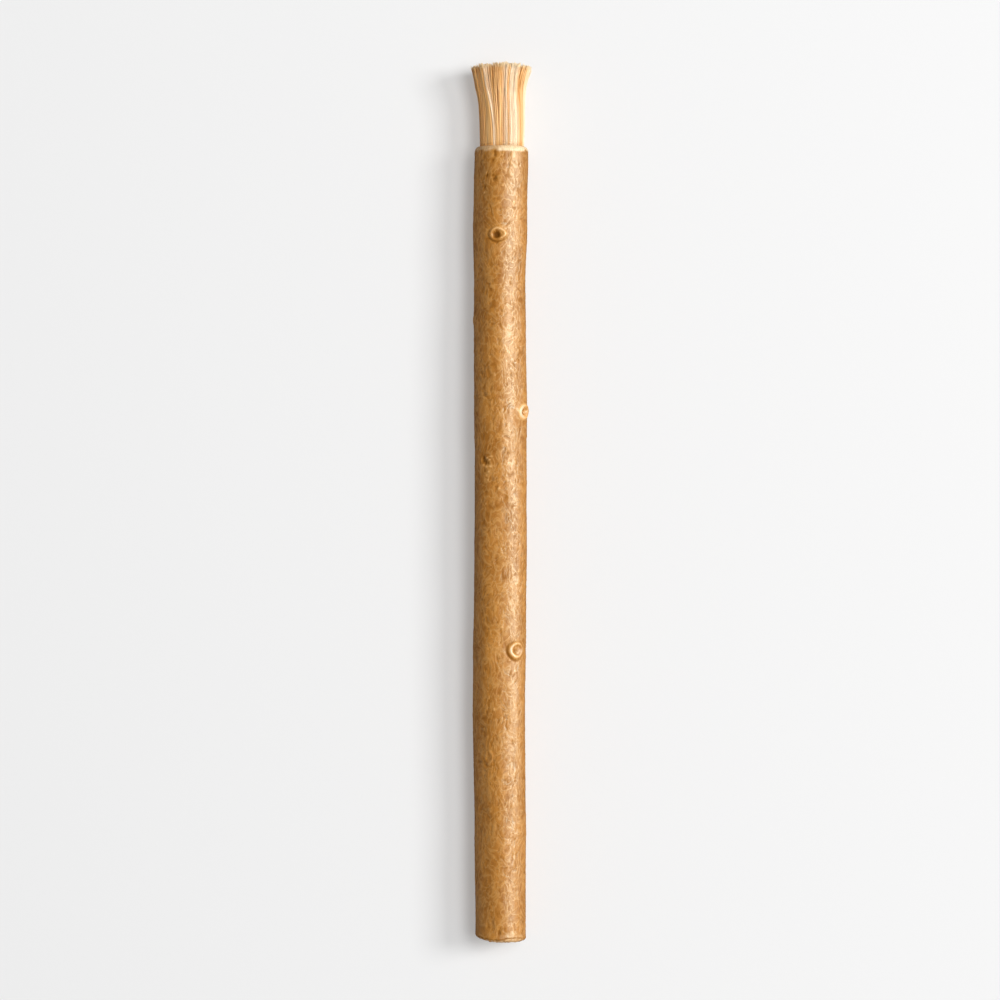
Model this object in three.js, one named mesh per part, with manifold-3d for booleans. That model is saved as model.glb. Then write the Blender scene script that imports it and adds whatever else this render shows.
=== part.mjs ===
// A miswak: a twig of the toothbrush tree with its bark on, pared at one end and frayed there into a brush.
// It grew as one piece, so it is one solid. Millimetres, +Z up. The stick lies along Y on the plane z = 0,
// with its brush towards +Y, and its origin is under the middle of its length.

import * as THREE from "three";
import { mergeVertices } from "three/addons/utils/BufferGeometryUtils.js";
import Module from "manifold-3d";

// Driving dimensions of the stick
const TOTAL_LENGTH = 150;
const BRUSH_LENGTH = 15;
const BARK_RADIUS = 4.5;
const BRUSH_RADIUS = 3.65;
const BUTT_Y = -TOTAL_LENGTH / 2;
const TIP_Y = TOTAL_LENGTH / 2;
const COLLAR_Y = TIP_Y - BRUSH_LENGTH;
// The axis is a little lower than the radius, so that the twig lies on a faint flat of its own.
const AXIS_HEIGHT = 4.34;

// Mesh steps of the bark
const SIDES = 28;
const RING_STEP = 2.4;

// The butt is rounded off, and the collar pared to a rounded bevel.
const BUTT_ROUNDING = 0.8;
const BEVEL_HEIGHT = 0.85;
const BEVEL_INSET = 0.62;

// The twig tapers a little over its last stretch, and swells or narrows where it grew unevenly.
const TAPER = 0.16;
const TAPER_START_Y = -45;
const SWELLINGS = [
  { y: 57, reach: 5, height: 0.06 },
  { y: 45, reach: 4, height: 0.09 },
  { y: 37, reach: 4, height: -0.1 },
  { y: 14, reach: 5, height: 0.05 },
  { y: 9, reach: 3, height: -0.08 },
  { y: -9, reach: 7, height: 0.05 },
  { y: -24, reach: 4, height: 0.06 },
  { y: -51, reach: 5, height: -0.07 },
];

// The centreline leans sideways near the collar, and wavers slightly all along.
const LEAN = 0.3;
const LEAN_START_Y = 44;
const WAVERS = [
  { axis: "x", height: 0.05, length: 61, start: 2.1 },
  { axis: "z", height: 0.06, length: 83, start: 0.4 },
];

// Flattened and ridged sides: how often each repeats around the twig, its height, start and twist per mm
const FLUTES = [
  { around: 2, height: 0.06, start: 0.6, twist: 0.012 },
  { around: 3, height: 0.06, start: 2.3, twist: -0.02 },
  { around: 5, height: 0.045, start: 4.1, twist: 0.015 },
];

// Uneven bark: how many patches there are around the twig, how long each is and how far it rises
const PATCHES = [
  { around: 9, length: 9, height: 0.13, seed: 11 },
  { around: 14, length: 5, height: 0.05, seed: 23 },
];

// Scars where side shoots grew. Each turn is in degrees from the top of the lying twig, towards +X.
// The ridge of its ring is across wide and along long.
const SCARS = [
  { y: 45.2, turn: -7, across: 2.3, along: 1.9, rim: 0.42, rise: 0.26, pit: 0.6, depth: 0.42 },
  { y: 14.9, turn: 64, across: 1.8, along: 1.9, rim: 0.42, rise: 0.36, pit: 0.4, depth: 0.14 },
  { y: -25.7, turn: 35, across: 1.8, along: 2.1, rim: 0.42, rise: 0.28, pit: 0.42, depth: 0.16 },
  { y: 30.5, turn: -116, across: 2.4, along: 2.04, rim: 0.45, rise: 0.3, pit: 0.55, depth: 0.4 },
  { y: -9.5, turn: 122, across: 1.9, along: 2.2, rim: 0.45, rise: 0.3, pit: 0.45, depth: 0.2 },
  { y: -58, turn: -132, across: 1.8, along: 1.72, rim: 0.4, rise: 0.24, pit: 0.42, depth: 0.3 },
];
const SCAR_SIDES = 12;
const SCAR_ROOT = 0.9;
const SKIRT_DROP = 0.42;
const LOPSIDED = 0.25;
const HIGH_SIDE = THREE.MathUtils.degToRad(135);

// The brush: locks of fibre that stand on a short whole root and spread at their tips
const LOCKS = 56;
const LOCK_STATIONS = [0, 0.42, 0.72, 0.88, 1];
const LOCK_GAP = 0.1;
const LOCK_FOOT_Y = COLLAR_Y - 0.3;
const ROOT_TOP_Y = COLLAR_Y + 0.3;
const SPREAD_EVEN = 0.13;
const SPREAD_FLARE = 0.39;
const FLARE_START = 0.35;
const FLARE_POWER = 2.6;
const TIP_THINNING = 0.2;
const TIP_DROP = 1.1;
const TIP_UNEVEN = 0.5;
const TIP_STRAY = 0.08;
const ROOT_SIDES = 36;
const SHORTEST_EDGE = 0.1;
// Fibres that would reach below the table are pressed flatter, to this height above it.
const TABLE_CLEARANCE = 0.1;

const wrap = (value, count) => ((value % count) + count) % count;
const clamp = (t) => Math.min(1, Math.max(0, t));
const smooth = (t) => t * t * (3 - 2 * t);
const mix = (a, b, t) => a + (b - a) * t;
const bump = (distance) => Math.exp(-distance * distance);

// A repeatable number from 0 to 1 for each pair of whole numbers
function scatter(i, j, seed) {
  let h = (Math.imul(i, 374761393) + Math.imul(j, 668265263) + Math.imul(seed, 362437)) | 0;
  h = Math.imul(h ^ (h >>> 13), 1274126177);
  return ((h ^ (h >>> 16)) >>> 0) / 4294967296;
}

// Smooth patches that close up around the twig, from -0.5 to 0.5
function patch(turn, y, { around, length, seed }) {
  const u = (turn / (2 * Math.PI)) * around;
  const v = y / length;
  const i = Math.floor(u);
  const j = Math.floor(v);
  const s = smooth(u - i);
  const t = smooth(v - j);
  const at = (a, b) => scatter(wrap(i + a, around), j + b, seed);
  return mix(mix(at(0, 0), at(1, 0), s), mix(at(0, 1), at(1, 1), s), t) - 0.5;
}

function centreline(y) {
  const centre = { x: 0, z: AXIS_HEIGHT };
  for (const { axis, height, length, start } of WAVERS)
    centre[axis] += height * Math.sin((2 * Math.PI * y) / length + start);
  centre.x += LEAN * smooth(clamp((y - LEAN_START_Y) / (COLLAR_Y - LEAN_START_Y)));
  return centre;
}

// The bark's distance from the centreline, without its scars
function barkRadius(turn, y) {
  let radius = BARK_RADIUS - TAPER * smooth(clamp((TAPER_START_Y - y) / (TAPER_START_Y - BUTT_Y)));
  for (const s of SWELLINGS) radius += s.height * bump((y - s.y) / s.reach);
  for (const f of FLUTES) radius += f.height * Math.cos(f.around * (turn + f.twist * y) + f.start);
  for (const p of PATCHES) radius += p.height * patch(turn, y, p);
  return radius;
}

// A point of the twig. Its underside never goes below the plane that it lies on.
function twigPoint(turn, y, radius) {
  const centre = centreline(y);
  return new THREE.Vector3(
    centre.x + radius * Math.sin(turn),
    y,
    Math.max(0, centre.z + radius * Math.cos(turn)),
  );
}

// One ring around the twig, with a flat side down. radiusAt gives the radius at each turn.
function ring(y, radiusAt) {
  return Array.from({ length: SIDES }, (_, i) => {
    const turn = (2 * Math.PI * (i + 0.5)) / SIDES;
    return twigPoint(turn, y, radiusAt(turn));
  });
}

// A closed mesh through sections with equal point counts, each anticlockwise as seen from +Y
function loft(sections) {
  const count = sections[0].length;
  const points = sections.flat();
  const triangles = [];
  for (let k = 0; k + 1 < sections.length; k += 1)
    for (let i = 0; i < count; i += 1) {
      const a = k * count + i;
      const b = k * count + ((i + 1) % count);
      triangles.push(a, b, a + count, b, b + count, a + count);
    }
  const middle = (section) =>
    section.reduce((sum, p) => sum.add(p), new THREE.Vector3()).divideScalar(count);
  const last = (sections.length - 1) * count;
  const foot = points.push(middle(sections[0])) - 1;
  const head = points.push(middle(sections.at(-1))) - 1;
  for (let i = 0; i < count; i += 1) {
    const next = (i + 1) % count;
    triangles.push(next, i, foot, last + i, last + next, head);
  }
  return new THREE.BufferGeometry().setFromPoints(points).setIndex(triangles);
}

const wasm = await Module();
wasm.setup();

function solid(geometry) {
  const bare = geometry.clone();
  bare.deleteAttribute("normal");
  bare.deleteAttribute("uv");
  const merged = mergeVertices(bare, 1e-4);
  return new wasm.Manifold(
    new wasm.Mesh({
      numProp: 3,
      vertProperties: merged.attributes.position.array,
      triVerts: new Uint32Array(merged.index.array),
    }),
  );
}

function surface(manifold) {
  const mesh = manifold.getMesh();
  return new THREE.BufferGeometry()
    .setAttribute("position", new THREE.Float32BufferAttribute(mesh.vertProperties, 3))
    .setIndex(new THREE.BufferAttribute(mesh.triVerts, 1));
}

// The twig: its sawn and rounded butt, the bark, the pared collar, and the whole root of the brush
function twig() {
  const low = BUTT_Y + BUTT_ROUNDING;
  const high = COLLAR_Y - BEVEL_HEIGHT;
  const steps = Math.round((high - low) / RING_STEP);
  const barkRing = (y, inset) => ring(y, (turn) => barkRadius(turn, y) - inset);
  const bark = Array.from({ length: steps + 1 }, (_, k) => barkRing(mix(low, high, k / steps), 0));
  return solid(
    loft([
      barkRing(BUTT_Y, BUTT_ROUNDING * 0.75),
      barkRing(BUTT_Y + BUTT_ROUNDING * 0.2, BUTT_ROUNDING * 0.3),
      barkRing(BUTT_Y + BUTT_ROUNDING * 0.5, BUTT_ROUNDING * 0.1),
      ...bark,
      barkRing(COLLAR_Y - BEVEL_HEIGHT * 0.5, BEVEL_INSET * 0.14),
      barkRing(COLLAR_Y - BEVEL_HEIGHT * 0.14, BEVEL_INSET * 0.5),
      barkRing(COLLAR_Y, BEVEL_INSET),
      ring(COLLAR_Y, () => BRUSH_RADIUS),
      ring(ROOT_TOP_Y, () => BRUSH_RADIUS - LOCK_GAP),
    ]),
  );
}

// A turned shape made oval, as wide and long as the scar, and higher on one side
function oval(profile, { across, along }) {
  const geometry = new THREE.LatheGeometry(
    profile.map(([x, y]) => new THREE.Vector2(x, y)),
    SCAR_SIDES,
  );
  const points = geometry.attributes.position;
  for (let i = 0; i < points.count; i += 1) {
    const turn = Math.atan2(points.getX(i), points.getZ(i));
    if (points.getY(i) > 0) points.setY(i, points.getY(i) * (1 + LOPSIDED * Math.cos(turn - HIGH_SIDE)));
  }
  return geometry.scale((2 * across) / (across + along), 1, (2 * along) / (across + along));
}

// The raised ring of a scar, upright at the origin. Its skirt runs out into the bark around it.
function scarRim(scar) {
  const { across, along, rim, rise } = scar;
  const radius = (across + along) / 4;
  const profile = [
    [radius - rim, -SCAR_ROOT],
    [radius + rim * 1.6, -SCAR_ROOT],
    [radius + rim * 1.6, -SKIRT_DROP],
    [radius + rim * 0.6, rise * 0.65],
    [radius, rise],
    [radius - rim * 0.6, rise * 0.65],
    [radius - rim, 0],
    [radius - rim, -SCAR_ROOT],
  ];
  return oval(profile, scar);
}

function scarPit(scar) {
  const { pit, depth } = scar;
  const profile = [
    [0, -depth],
    [pit * 0.7, -depth * 0.8],
    [pit, 0.5],
    [0, 0.5],
  ];
  return oval(profile, scar);
}

// Moves a piece made upright at the origin onto the bark, square to it.
function onBark(geometry, { y, turn }) {
  const angle = THREE.MathUtils.degToRad(turn);
  const around = new THREE.Vector3(Math.cos(angle), 0, -Math.sin(angle));
  const outwards = new THREE.Vector3(Math.sin(angle), 0, Math.cos(angle));
  const along = new THREE.Vector3(0, -1, 0);
  const place = new THREE.Matrix4().makeBasis(around, outwards, along);
  return geometry.applyMatrix4(place.setPosition(twigPoint(angle, y, barkRadius(angle, y))));
}

// How far the fibres spread at a height, as a share of their distance from the middle
function spread(t) {
  return 1 + SPREAD_EVEN * t + SPREAD_FLARE * clamp((t - FLARE_START) / (1 - FLARE_START)) ** FLARE_POWER;
}

// Where a fibre that starts at a place on the round root has got to, from its foot (0) to its tip (1)
function fibrePoint(place, t) {
  const centre = centreline(COLLAR_Y);
  const reach = BRUSH_RADIUS * spread(t);
  const press = place.y < 0 ? Math.min(1, (centre.z - TABLE_CLEARANCE) / reach) : 1;
  const drop = TIP_DROP * (place.length() / BRUSH_RADIUS) ** 2 * t;
  return new THREE.Vector3(
    centre.x + place.x * spread(t),
    mix(LOCK_FOOT_Y, TIP_Y, t) - drop,
    centre.z + place.y * spread(t) * press,
  );
}

// The part of a convex outline that is nearer to a seed than to another one, less half of the gap
function nearerPart(outline, seed, other) {
  const away = other.clone().sub(seed).normalize();
  const limit = away.dot(seed.clone().lerp(other, 0.5)) - LOCK_GAP / 2;
  return outline.flatMap((p, i) => {
    const q = outline[(i + 1) % outline.length];
    const before = away.dot(p) - limit;
    const after = away.dot(q) - limit;
    const kept = before <= 0 ? [p] : [];
    if (before * after < 0) kept.push(p.clone().lerp(q, before / (before - after)));
    return kept;
  });
}

// The root's round, shared among the locks as seeds are in a sunflower
function lockCells() {
  const goldenAngle = Math.PI * (3 - Math.sqrt(5));
  const polar = (turn, distance) =>
    new THREE.Vector2(distance * Math.sin(turn), distance * Math.cos(turn));
  const seeds = Array.from({ length: LOCKS }, (_, i) =>
    polar(i * goldenAngle, BRUSH_RADIUS * Math.sqrt((i + 0.5) / LOCKS)),
  );
  const rim = Array.from({ length: ROOT_SIDES }, (_, i) =>
    polar((2 * Math.PI * i) / ROOT_SIDES, BRUSH_RADIUS),
  );
  return seeds.map((seed) => {
    const others = seeds.filter((other) => other !== seed);
    const outline = others.reduce((kept, other) => nearerPart(kept, seed, other), rim);
    const corners = outline.filter((p, i) => p.distanceTo(outline.at(i - 1)) > SHORTEST_EDGE);
    return { seed, corners };
  });
}

// One lock of fibres. It thins, ends a little short and strays, each by its own amount.
function lock({ seed, corners }, index) {
  const length = 1 - (TIP_UNEVEN / BRUSH_LENGTH) * scatter(index, 0, 5);
  const strayTurn = 2 * Math.PI * scatter(index, 1, 5);
  const section = (station) =>
    corners.map((corner) => {
      const place = seed.clone().lerp(corner, 1 - TIP_THINNING * station);
      const point = fibrePoint(place, station * length);
      const stray = TIP_STRAY * station ** 2;
      point.x += stray * Math.sin(strayTurn);
      point.z = Math.max(TABLE_CLEARANCE, point.z + stray * Math.cos(strayTurn));
      return point;
    });
  return solid(loft(LOCK_STATIONS.map(section)));
}

// The bare fibres have a material of their own: their triangles come last, as a second group.
function inTwoMaterials(geometry) {
  const corners = [...geometry.index.array];
  const height = (corner) => geometry.attributes.position.getY(corner);
  const bark = [];
  const fibre = [];
  for (let i = 0; i < corners.length; i += 3) {
    const triangle = corners.slice(i, i + 3);
    const middle = triangle.reduce((sum, corner) => sum + height(corner), 0) / 3;
    (middle > COLLAR_Y + 0.01 ? fibre : bark).push(...triangle);
  }
  geometry.setIndex([...bark, ...fibre]);
  geometry.addGroup(0, bark.length, 0);
  geometry.addGroup(bark.length, fibre.length, 1);
  return geometry;
}

function stick() {
  let body = twig();
  for (const scar of SCARS) body = body.add(solid(onBark(scarRim(scar), scar)));
  for (const scar of SCARS) body = body.subtract(solid(onBark(scarPit(scar), scar)));
  lockCells().forEach((cell, index) => {
    body = body.add(lock(cell, index));
  });
  return inTwoMaterials(surface(body));
}

const bark = new THREE.MeshStandardMaterial({ color: 0xc8925a, roughness: 0.8, metalness: 0 });
const fibre = new THREE.MeshStandardMaterial({ color: 0xecc594, roughness: 0.7, metalness: 0 });
const miswakStick = new THREE.Mesh(stick(), [bark, fibre]);
miswakStick.name = "miswak_stick";

export default new THREE.Group().add(miswakStick);
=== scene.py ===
# A miswak stick: a twig with its bark on, pared at one end and frayed there into a brush of fibres.
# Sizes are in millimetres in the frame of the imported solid, and the meshes are made in metres.

import math
from collections import namedtuple

import bpy
import numpy as np
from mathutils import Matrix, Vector


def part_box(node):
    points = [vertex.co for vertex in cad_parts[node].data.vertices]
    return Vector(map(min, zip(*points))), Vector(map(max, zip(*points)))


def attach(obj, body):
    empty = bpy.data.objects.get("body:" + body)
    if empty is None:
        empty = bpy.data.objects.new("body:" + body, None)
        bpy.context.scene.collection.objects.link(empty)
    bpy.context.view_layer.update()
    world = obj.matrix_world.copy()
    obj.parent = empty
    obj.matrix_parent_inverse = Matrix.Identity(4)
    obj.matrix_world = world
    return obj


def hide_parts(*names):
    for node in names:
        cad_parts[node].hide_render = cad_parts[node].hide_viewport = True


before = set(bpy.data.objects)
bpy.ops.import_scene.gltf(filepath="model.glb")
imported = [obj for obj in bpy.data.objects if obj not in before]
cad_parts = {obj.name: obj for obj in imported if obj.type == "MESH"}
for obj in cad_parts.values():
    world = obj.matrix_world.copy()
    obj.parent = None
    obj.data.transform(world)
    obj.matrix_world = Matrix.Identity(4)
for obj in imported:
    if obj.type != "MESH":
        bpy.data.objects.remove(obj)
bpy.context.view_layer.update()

MM = 0.001
STICK = "miswak_stick"
stick_low, stick_high = (np.array(corner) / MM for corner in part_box(STICK))

# Driving dimensions, as in the solid
BARK_LENGTH = 135
BARK_RADIUS = 4.5
BRUSH_RADIUS = 3.65
AXIS_HEIGHT = 4.34
BUTT_Y = stick_low[1]
TIP_Y = stick_high[1]
COLLAR_Y = BUTT_Y + BARK_LENGTH
TAPER = 0.16
TAPER_START_Y = -45
LEAN = 0.3
LEAN_START_Y = 44

# Slow waves of the twig's middle: height, length, start
SIDEWAYS_WAVE = (0.05, 61, 2.1)
UPWARD_WAVE = (0.06, 83, 0.4)

# Swellings: place along the twig, reach, height
SWELLINGS = [
    (57, 5, 0.06),
    (45, 4, 0.09),
    (37, 4, -0.1),
    (14, 5, 0.05),
    (9, 3, -0.08),
    (-9, 7, 0.05),
    (-24, 4, 0.06),
    (-51, 5, -0.07),
]

# Flattened sides: repeats around the twig, height, start, twist per mm
FLUTES = [(2, 0.06, 0.6, 0.012), (3, 0.06, 2.3, -0.02), (5, 0.045, 4.1, 0.015)]

# Uneven patches: how many around, length, height, seed
PATCHES = [(9, 9, 0.13, 11), (14, 5, 0.05, 23)]

# Scars of side shoots. Each has its place along and its turn in degrees from the top towards +X, half the
# width and length of its ring, the ring's thickness and height, the pit's radius and depth, the depth of the
# groove around it, the side where the groove is deepest, how far the ring is from round, and the side where
# the ring is palest, as a painted highlight. A side is a turn in degrees from the side towards the butt.
Scar = namedtuple(
    "Scar",
    "y turn half_width half_length rim rise pit_radius depth groove_depth groove_side odd pale_side",
)
SCARS = [
    Scar(45, -5, 1.13, 0.9, 0.36, 0.2, 0.68, 0.45, 0.17, -12, 0.03, 155),
    Scar(14.95, 62, 0.96, 1.04, 0.72, 0.42, 0.42, 0.14, 0.05, -50, 0.01, -80),
    Scar(-25.45, 38, 1.12, 1.12, 0.44, 0.25, 0.46, 0.14, 0.17, -62, 0.015, -80),
    Scar(-43.6, -25, 0.7, 0.95, 0.3, 0.09, 0.36, 0.06, 0.08, -40, 0.03, 90),
    Scar(30.5, -116, 1.2, 1.02, 0.45, 0.2, 0.55, 0.4, 0.08, -40, 0.04, 90),
    Scar(-9.5, 122, 0.95, 1.1, 0.45, 0.3, 0.45, 0.2, 0.18, -40, 0.02, -90),
    Scar(-58, -132, 0.9, 0.86, 0.4, 0.24, 0.42, 0.3, 0.18, -40, 0.03, 90),
]

# The ring of a scar: its softness as a share of its thickness, how much higher its high side is, that side
# as a turn from the side towards the butt, and how much of its paleness is lost on its darkest side, as
# painted shade
RING_SOFTNESS = 0.72
LOPSIDED = 0.25
HIGH_SIDE = math.radians(135)
RING_SHADE_FADE = 0.7

# The pit of a scar is this far off its middle, against the turn and towards the butt. How far out its wall
# starts and how wide it is are shares of its radius.
PIT_ASIDE = 0.26
PIT_BEHIND = 0.23
PIT_EDGE = 1.25
PIT_WALL = 0.8

# The groove of a scar: how far it is from the ring and how wide, as shares of the ring's thickness, and the
# share of its depth that it has on its shallow side. The groove is darkened as a painted shadow.
GROOVE_OUT = 1.45
GROOVE_WIDTH = 0.55
GROOVE_ALL_ROUND = 0.15

# A ring as high as this has all of its colour, and a pit or a groove as deep as this is fully dark. This
# darkness grows with depth as painted shade, over the pit's own dark colour.
FULL_RISE = 0.25
FULL_DEPTH = 0.3
FULL_GROOVE = 0.18

# The bark is this much smoother around a scar, as far from its ring as this share of the ring's thickness.
CALM = 0.75
CALM_REACH = 2.5

# Small pits: place along, turn in degrees, radius, depth, darkness
PITS = [
    (7.9, 18, 0.34, 0.2, 0.45),
    (21.1, 26, 0.3, 0.2, 0.45),
    (23.7, 49, 0.24, 0.14, 0.45),
    (-1.3, 26, 0.3, 0.18, 0.45),
    (0.3, 11, 0.34, 0.16, 0.45),
    (36.7, 26, 0.36, 0.22, 0.45),
    (-28.6, -8, 0.28, 0.14, 0.45),
    (-32.6, -1, 0.3, 0.16, 0.45),
    (-41.1, 29, 0.34, 0.2, 0.45),
    (-52.2, 24, 0.34, 0.22, 0.45),
    (-60, 29, 0.28, 0.16, 0.45),
    (-73.2, -2, 0.36, 0.2, 0.8),
    (54.5, -13, 0.3, 0.2, 0.8),
    (58.8, -15, 0.3, 0.1, 0.8),
    (58.3, -15, 0.28, 0.1, 0.8),
    (57.4, -19, 0.28, 0.1, 0.75),
    (54.9, -18, 0.24, 0.08, 0.8),
    (54.2, -16, 0.28, 0.12, 1),
    (54.9, -32, 0.26, 0.1, 0.8),
    (52.9, -38, 0.34, 0.1, 0.7),
    (7.1, -38, 0.28, 0.18, 0.85),
    (6.6, -37, 0.34, 0.22, 0.9),
    (6.3, -32, 0.3, 0.18, 0.85),
    (6.2, -26, 0.22, 0.12, 0.8),
    (4.9, -35, 0.2, 0.1, 1),
]

# The width of a small pit is this share of its length.
PIT_NARROWNESS = 0.7

# Pale raised flecks: place along, turn in degrees, half width, half length, height
FLECKS = [
    (7.1, -29, 0.26, 0.16, 0.1),
    (6.75, -23, 0.3, 0.16, 0.1),
    (5.8, -38, 0.34, 0.2, 0.1),
    (5.55, -30, 0.36, 0.2, 0.14),
    (5.68, -21, 0.38, 0.27, 0.17),
    (4.75, -25, 0.26, 0.22, 0.09),
    (4.1, -30, 0.24, 0.2, 0.08),
    (3.35, -27, 0.16, 0.22, 0.05),
    (1.96, -3, 0.26, 0.26, 0.09),
    (7.3, -20, 0.5, 0.14, 0.06),
    (53.2, 3, 0.26, 0.2, 0.08),
    (52, -39, 0.2, 0.2, 0.08),
    (55.3, -35, 0.14, 0.3, 0.06),
    (58.2, 1, 0.22, 0.2, 0.06),
    (50.2, 30, 0.2, 0.3, 0.06),
    (-0.7, -32, 0.14, 0.3, 0.05),
    (-12.2, 42, 0.3, 0.2, 0.06),
    (-21.5, 4, 0.26, 0.22, 0.08),
    (-35.4, -12, 0.2, 0.3, 0.06),
]

# How pale a fleck is, as a share of a scar's ring
FLECK_PALENESS = 0.78

# The bark's pattern is carried along by swirls: their size, how far they carry it, and their seeds. It is
# then scaled, so that it is longer along the twig than around it.
SWIRLS = [((2.6, 5, 2.6), 1.1, (3, 5, 7)), ((1.1, 1.8, 1.1), 0.4, (13, 15, 17))]
PATTERN_SCALE = (1, 0.55, 1)

# The bark's relief. The sizes of its creases, dimples and ridges are in the scaled pattern.
CREASE_DEPTH = 0.06
CREASE_SIZE = 0.62
CREASE_WIDTH = 0.17
CREASE_GAPS = 1.1
DIMPLE_DEPTH = 0.05
DIMPLE_SIZE = 0.5
RIDGE_HEIGHT = 0.042
RIDGE_SIZE = 0.55
WAVE_HEIGHT = 0.03
WAVE_SIZE = (2.4, 5, 2.4)
ROUGHER_SIZE = (3, 7, 3)

# Noise makes a dimple or a ridge from this value on, and a full one after this much more.
KNOB_RANGE = (0.25, 0.3)

# The height of relief that gives the material its palest tone, a painted highlight on ridges, or its darkest
# tone, painted shade in creases
RELIEF_REACH = 0.08

# The bark's mesh: columns around, the mean step between its rows, how much closer these are at a scar and
# how far from it, and how many places along the bark their own places are worked out from
COLUMNS = 176
ROW_STEP = 0.262
CLOSER_AT_SCARS = 0.6
CLOSER_REACH = 1.6
FINE_PLACES = 4000

# The rows on the sawn face, the share of the radius of the first one, and the rows on the butt's rounding
# and on the collar's bevel
FACE_ROWS = 25
FACE_MIDDLE = 0.04
ROUNDING_ROWS = 7
BEVEL_ROWS = 6

# The two ends of the bark, and how far the root of the brush goes into the collar
BUTT_ROUNDING = 0.8
BUTT_INSET = 0.6
BEVEL_HEIGHT = 0.85
BEVEL_INSET = 0.62
BEVEL_RELIEF = 0.5
COLLAR_HOLLOW = 0.08
ROOT_DEPTH = 0.4
ROOT_INSET = 0.05

# The butt's rim is worn uneven: depth, size, and reach as a share of the rounding.
END_WEAR = 0.12
END_WEAR_SIZE = 0.7
END_WEAR_REACH = 1.4

# The sawn face: the depth of its marks, how many of them there are per mm, and where its ring of bark starts
# as a share of the radius, with the width of that edge
SAWN_DEPTH = 0.05
SAWN_MARKS = (0.8, 1, 2.4)
BARK_RING = 0.84
BARK_RING_EDGE = 0.05

# The butt's cut is askew on its -X side, and ragged at its rim. Each of the two fades out at a height above
# the butt. Its side is the share of the radius where it starts, and the share over which it grows.
BUTT_ASKEW = 0.45
ASKEW_REACH = 2.5
ASKEW_SIDE = (0.1, 0.9)
BUTT_RAGGED = 0.2
RAGGED_REACH = 1.2
RAGGED_SIDE = (0.75, 0.25)

# Mixed noises for ragged and for torn edges: size, share and seed of each
RAGGED_NOISES = [(0.75, 1, 71), (0.35, 0.6, 73)]
TORN_NOISES = [((1.7, 1, 1.7), 0.5, 61), ((0.6, 1, 0.6), 0.4, 67)]

# A dark line of painted shade runs around the butt's rim, at this height and this wide, with a pale torn lip
# beyond it.
RIM_SHADE_HEIGHT = 0.5
RIM_SHADE_WIDTH = 0.16
RIM_SHADE_DARKNESS = 0.75
LIP_OFFSET = 0.1
LIP_EDGE = 0.1
LIP_PALENESS = 0.5

# The bark is painted pale on one side of the butt as a highlight, at this turn in degrees.
BUTT_HIGHLIGHT_TURN = 32
BUTT_HIGHLIGHT_REACH = 26
BUTT_HIGHLIGHT_LENGTH = 1.9
BUTT_HIGHLIGHT_EDGE = 0.8
BUTT_HIGHLIGHT_PALENESS = 0.4

# The pared wood of the collar: where it starts as a share of the bevel's height, the width of its edge, and
# how bare it is on its shady side, where it is painted darker as shade
PARED_START = 1.1
PARED_EDGE = 0.25
PAINTED_SHADE_BARENESS = 0.45

# The brush: how its fibres spread, how much shorter the outer ones are, how far the longest path ends short
# of the solid's tip, and how close to that tip any path may come
SPREAD_EVEN = 0.13
SPREAD_FLARE = 0.39
FLARE_START = 0.35
FLARE_POWER = 2.6
TIP_DROP = 0.6
TIP_POWER = 3
TIP_SHORT = 0.45
TIP_MARGIN = 0.02

# The fibres' feet: how deep they are in the wood, how much wider they stand than the brush's radius, how far
# they and the middles of their clumps stray from even places, and how much of the radius these middles cover
FOOT_DEPTH = 0.35
FOOT_SWELL = 0.09
FOOT_JITTER = 0.08
CLUMP_JITTER = 0.16
CLUMP_COVER = 0.97

# The brush leans towards -X: how far, at which share of its height, and the reach of that
BRUSH_LEAN = 0.2
LEAN_PLACE = 0.77
LEAN_REACH = 0.2

# How far the surface of the fibres and the paths of the pressed ones stay above the table
TABLE_CLEARANCE = 0.1
PRESS_CLEARANCE = 0.3

# Two kinds of fibre. Gather is how far they are drawn to the middle of their clump, wave how far they stray
# from their path, uneven how much their lengths differ, and spin how much their flat sides turn away.
Fibres = namedtuple("Fibres", "count thickness sides stations clumps gather wave uneven spin")
THICK_FIBRES = Fibres(1500, 0.36, 5, 11, 46, 0.24, 0.05, 0.5, 0.5)
THIN_FIBRES = Fibres(900, 0.13, 5, 10, 70, 0.3, 0.12, 0.8, 1)
THICK_SEED = 7
THIN_SEED = 19

# How the lengths of clumps differ, where along the fibres they start to gather, and the range of that
CLUMP_UNEVEN = 0.3
GATHER_ALONG = (0.2, 0.8)
GATHER_RANGE = (0.6, 1.2)

# The waves of a fibre: how many along it with their share of its wave, and the power by which they grow
FIBRE_WAVES = ((1.3, 1), (3.1, 0.35))
WAVE_GROWTH = 1.3

# The shape of one fibre: how uneven its outline is, how much it swells, where and how quickly, how much it
# narrows along it and at its tip, where its tip starts, and the ranges of its thickness and flatness
OUTLINE_UNEVEN = 0.14
SWELL = 0.12
SWELL_STARTS = (0, 6)
SWELL_PACE = 9
NARROWING = 0.22
TIP_NARROWING = 0.45
TIP_ALONG = (0.93, 0.07)
THICKNESS_RANGE = (0.8, 1.2)
FLATNESS_RANGE = (0.4, 0.65)

# Where the fibres part towards their tips: turn in degrees, reach, and how far they move aside in degrees.
# Then where that starts and over how much it grows, along the fibres and out from the brush's middle.
PARTINGS = [
    (-12, 8, 5),
    (29, 6, 2.5),
    (112, 14, 5),
    (165, 10, 4),
    (-84, 14, 5),
    (-140, 12, 5),
]
PARTING_ALONG = (0.15, 0.7)
PARTING_OUT = (0.76, 0.16)

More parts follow.
